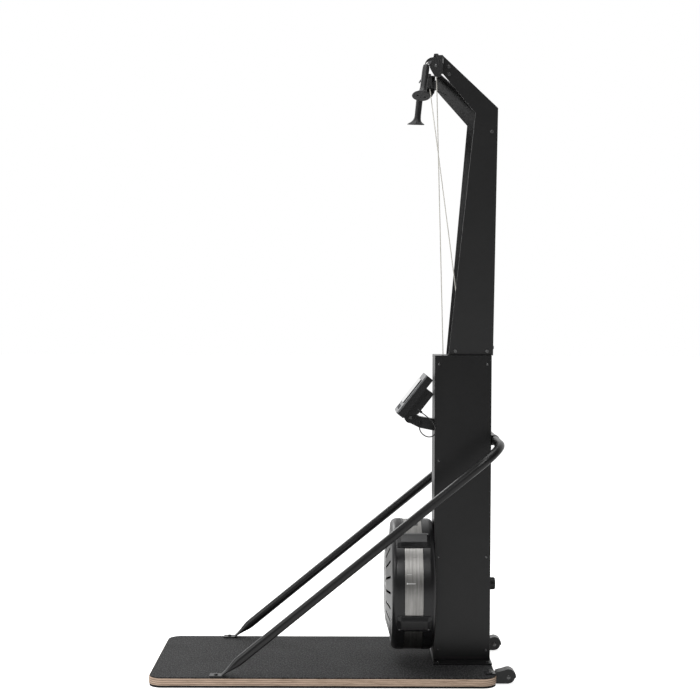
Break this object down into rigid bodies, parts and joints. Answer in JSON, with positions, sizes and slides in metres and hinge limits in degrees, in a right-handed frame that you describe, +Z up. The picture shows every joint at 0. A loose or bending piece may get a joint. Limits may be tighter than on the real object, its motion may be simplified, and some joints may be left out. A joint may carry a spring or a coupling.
{
  "type": "ski trainer machine",
  "caption": "Standing ski trainer: base board with mat, hollow column with a fan and cord drums, forked mast with swivelling pulley heads, cord handles, brace tube and tilting console.",
  "frame": {"origin": "floor level under the middle of the bounding box", "axes": "+X to the right of a person who stands behind it looking forward over the base, +Y from the free end of the base towards the column, +Z up"},
  "size_m": [0.6, 1.269, 2.1774],
  "materials": {
    "black_coat": "satin powder coat",
    "black_plastic": "fine grained, moulded",
    "grey_plastic": "moulded",
    "rubber": "matt",
    "plywood": "sealed layered edge",
    "mat_rubber": "embossed matt",
    "brushed_steel": "brushed around the drum",
    "bright_steel": "turned",
    "cord": "braided",
    "screen": "gloss"
  },
  "bodies": {
    "stand": {"base_underlay": "rubber", "base_board": "plywood", "base_mat": "mat_rubber", "column_frame": "black_coat", "column_cover_right": "black_coat", "column_cover_left": "black_coat", "mast_saddle": "black_coat", "mast_plate_right": "black_coat", "mast_plate_left": "black_coat", "mast_spacer_bar": "black_coat", "pulley_bracket_right": "black_coat", "pulley_bracket_left": "black_coat", "support_tube": "black_coat", "support_tube_saddle": "black_coat", "foot_clamp_right": "black_coat", "foot_clamp_left": "black_coat", "wheel_housing_right": "black_plastic", "wheel_housing_left": "black_plastic", "fan_rear_shell": "black_plastic", "fan_front_shell": "black_plastic", "fan_front_grille": "brushed_steel", "shell_lug_upper_right": "black_plastic", "shell_lug_lower_right": "black_plastic", "shell_lug_upper_left": "black_plastic", "shell_lug_lower_left": "black_plastic", "front_bearing": "bright_steel", "rear_bearing": "bright_steel", "axle_cap": "black_plastic", "speed_sensor": "black_plastic", "console_arm": "black_plastic", "handle_cord_right": "cord", "handle_cord_left": "cord", "console_cable": "rubber", "recoil_spring_right": "bright_steel", "recoil_spring_left": "bright_steel"},
    "rotor": {"fan_axle": "bright_steel", "fan_wheel": "grey_plastic"},
    "damper": {"damper_ring": "brushed_steel"},
    "console": {"console_body": "black_plastic", "console_bezel": "grey_plastic", "console_screen": "screen"},
    "head_right": {"swivel_yoke_right": "black_coat", "cord_tail_right": "cord"},
    "pulley_right": {"top_pulley_right": "grey_plastic"},
    "handle_right": {"handle_front_half_right": "black_plastic", "handle_rear_half_right": "black_plastic"},
    "drum_right": {"cord_drum_right": "grey_plastic"},
    "roller_right": {"guide_roller_right": "grey_plastic"},
    "wheel_right": {"transport_wheel_right": "rubber"},
    "head_left": {"swivel_yoke_left": "black_coat", "cord_tail_left": "cord"},
    "pulley_left": {"top_pulley_left": "grey_plastic"},
    "handle_left": {"handle_front_half_left": "black_plastic", "handle_rear_half_left": "black_plastic"},
    "drum_left": {"cord_drum_left": "grey_plastic"},
    "roller_left": {"guide_roller_left": "grey_plastic"},
    "wheel_left": {"transport_wheel_left": "rubber"},
    "button_1": {"console_button_1": "rubber"},
    "button_2": {"console_button_2": "rubber"},
    "button_3": {"console_button_3": "rubber"}
  },
  "joints": [
    {"name": "fan_spin", "type": "hinge", "parent": "stand", "child": "rotor", "pos_m": [0, 0, 0.303], "axis": [0, 1, 0], "continuous": true},
    {"name": "damper_turn", "type": "hinge", "parent": "stand", "child": "damper", "pos_m": [0, 0, 0.303], "axis": [0, 1, 0], "range_deg": [0, 30]},
    {"name": "head_swivel_right", "type": "hinge", "parent": "stand", "child": "head_right", "pos_m": [0.207, 0.3495, 2.145], "axis": [0, 0, 1], "range_deg": [-15, 15]},
    {"name": "handle_pull_right", "type": "slide", "parent": "head_right", "child": "handle_right", "axis": [0, -0.6225, -0.7826], "range_m": [0, 1.2], "stiffness_N_per_m": 8, "springref_m": -1.5, "deforming": ["cord_tail_right"]},
    {"name": "pulley_spin_right", "type": "hinge", "parent": "head_right", "child": "pulley_right", "pos_m": [0.207, 0.3375, 2.145], "axis": [1, 0, 0], "range_deg": [0, 5750]},
    {"name": "drum_spin_right", "type": "hinge", "parent": "stand", "child": "drum_right", "pos_m": [0, 0.3915, 0.303], "axis": [0, 1, 0], "range_deg": [-2100, 0]},
    {"name": "roller_spin_right", "type": "hinge", "parent": "stand", "child": "roller_right", "pos_m": [0.04905, 0.3915, 1.105], "axis": [0, 1, 0], "range_deg": [0, 4300]},
    {"name": "transport_wheel_spin_right", "type": "hinge", "parent": "stand", "child": "wheel_right", "pos_m": [0.231, 0.6085, 0.027], "axis": [1, 0, 0], "continuous": true},
    {"name": "head_swivel_left", "type": "hinge", "parent": "stand", "child": "head_left", "pos_m": [-0.207, 0.3495, 2.145], "axis": [0, 0, 1], "range_deg": [-15, 15]},
    {"name": "handle_pull_left", "type": "slide", "parent": "head_left", "child": "handle_left", "axis": [0, -0.2419, -0.9703], "range_m": [0, 1.2], "stiffness_N_per_m": 8, "springref_m": -1.5, "deforming": ["cord_tail_left"]},
    {"name": "pulley_spin_left", "type": "hinge", "parent": "head_left", "child": "pulley_left", "pos_m": [-0.207, 0.3375, 2.145], "axis": [1, 0, 0], "range_deg": [0, 5750]},
    {"name": "drum_spin_left", "type": "hinge", "parent": "stand", "child": "drum_left", "pos_m": [0, 0.4755, 0.303], "axis": [0, 1, 0], "range_deg": [0, 2100]},
    {"name": "roller_spin_left", "type": "hinge", "parent": "stand", "child": "roller_left", "pos_m": [-0.04905, 0.4755, 1.105], "axis": [0, 1, 0], "range_deg": [-4300, 0]},
    {"name": "transport_wheel_spin_left", "type": "hinge", "parent": "stand", "child": "wheel_left", "pos_m": [-0.231, 0.6085, 0.027], "axis": [1, 0, 0], "continuous": true},
    {"name": "console_tilt", "type": "hinge", "parent": "stand", "child": "console", "pos_m": [0, 0.27552, 0.90799], "axis": [1, 0, 0], "range_deg": [0, 30], "deforming": ["console_cable"]},
    {"name": "console_button_1_press", "type": "slide", "parent": "console", "child": "button_1", "axis": [0, 0.788, -0.6157], "range_m": [0, 0.0015], "stiffness_N_per_m": 400, "springref_m": -0.001},
    {"name": "console_button_2_press", "type": "slide", "parent": "console", "child": "button_2", "axis": [0, 0.788, -0.6157], "range_m": [0, 0.0015], "stiffness_N_per_m": 400, "springref_m": -0.001},
    {"name": "console_button_3_press", "type": "slide", "parent": "console", "child": "button_3", "axis": [0, 0.788, -0.6157], "range_m": [0, 0.0015], "stiffness_N_per_m": 400, "springref_m": -0.001}
  ],
  "couplings": [
    {"joint": "pulley_spin_right", "follows": "handle_pull_right", "rad_per_m": 83.333},
    {"joint": "drum_spin_right", "follows": "handle_pull_right", "rad_per_m": -30.303},
    {"joint": "roller_spin_right", "follows": "handle_pull_right", "rad_per_m": 62.305},
    {"joint": "pulley_spin_left", "follows": "handle_pull_left", "rad_per_m": 83.333},
    {"joint": "drum_spin_left", "follows": "handle_pull_left", "rad_per_m": 30.303},
    {"joint": "roller_spin_left", "follows": "handle_pull_left", "rad_per_m": -62.305}
  ]
}
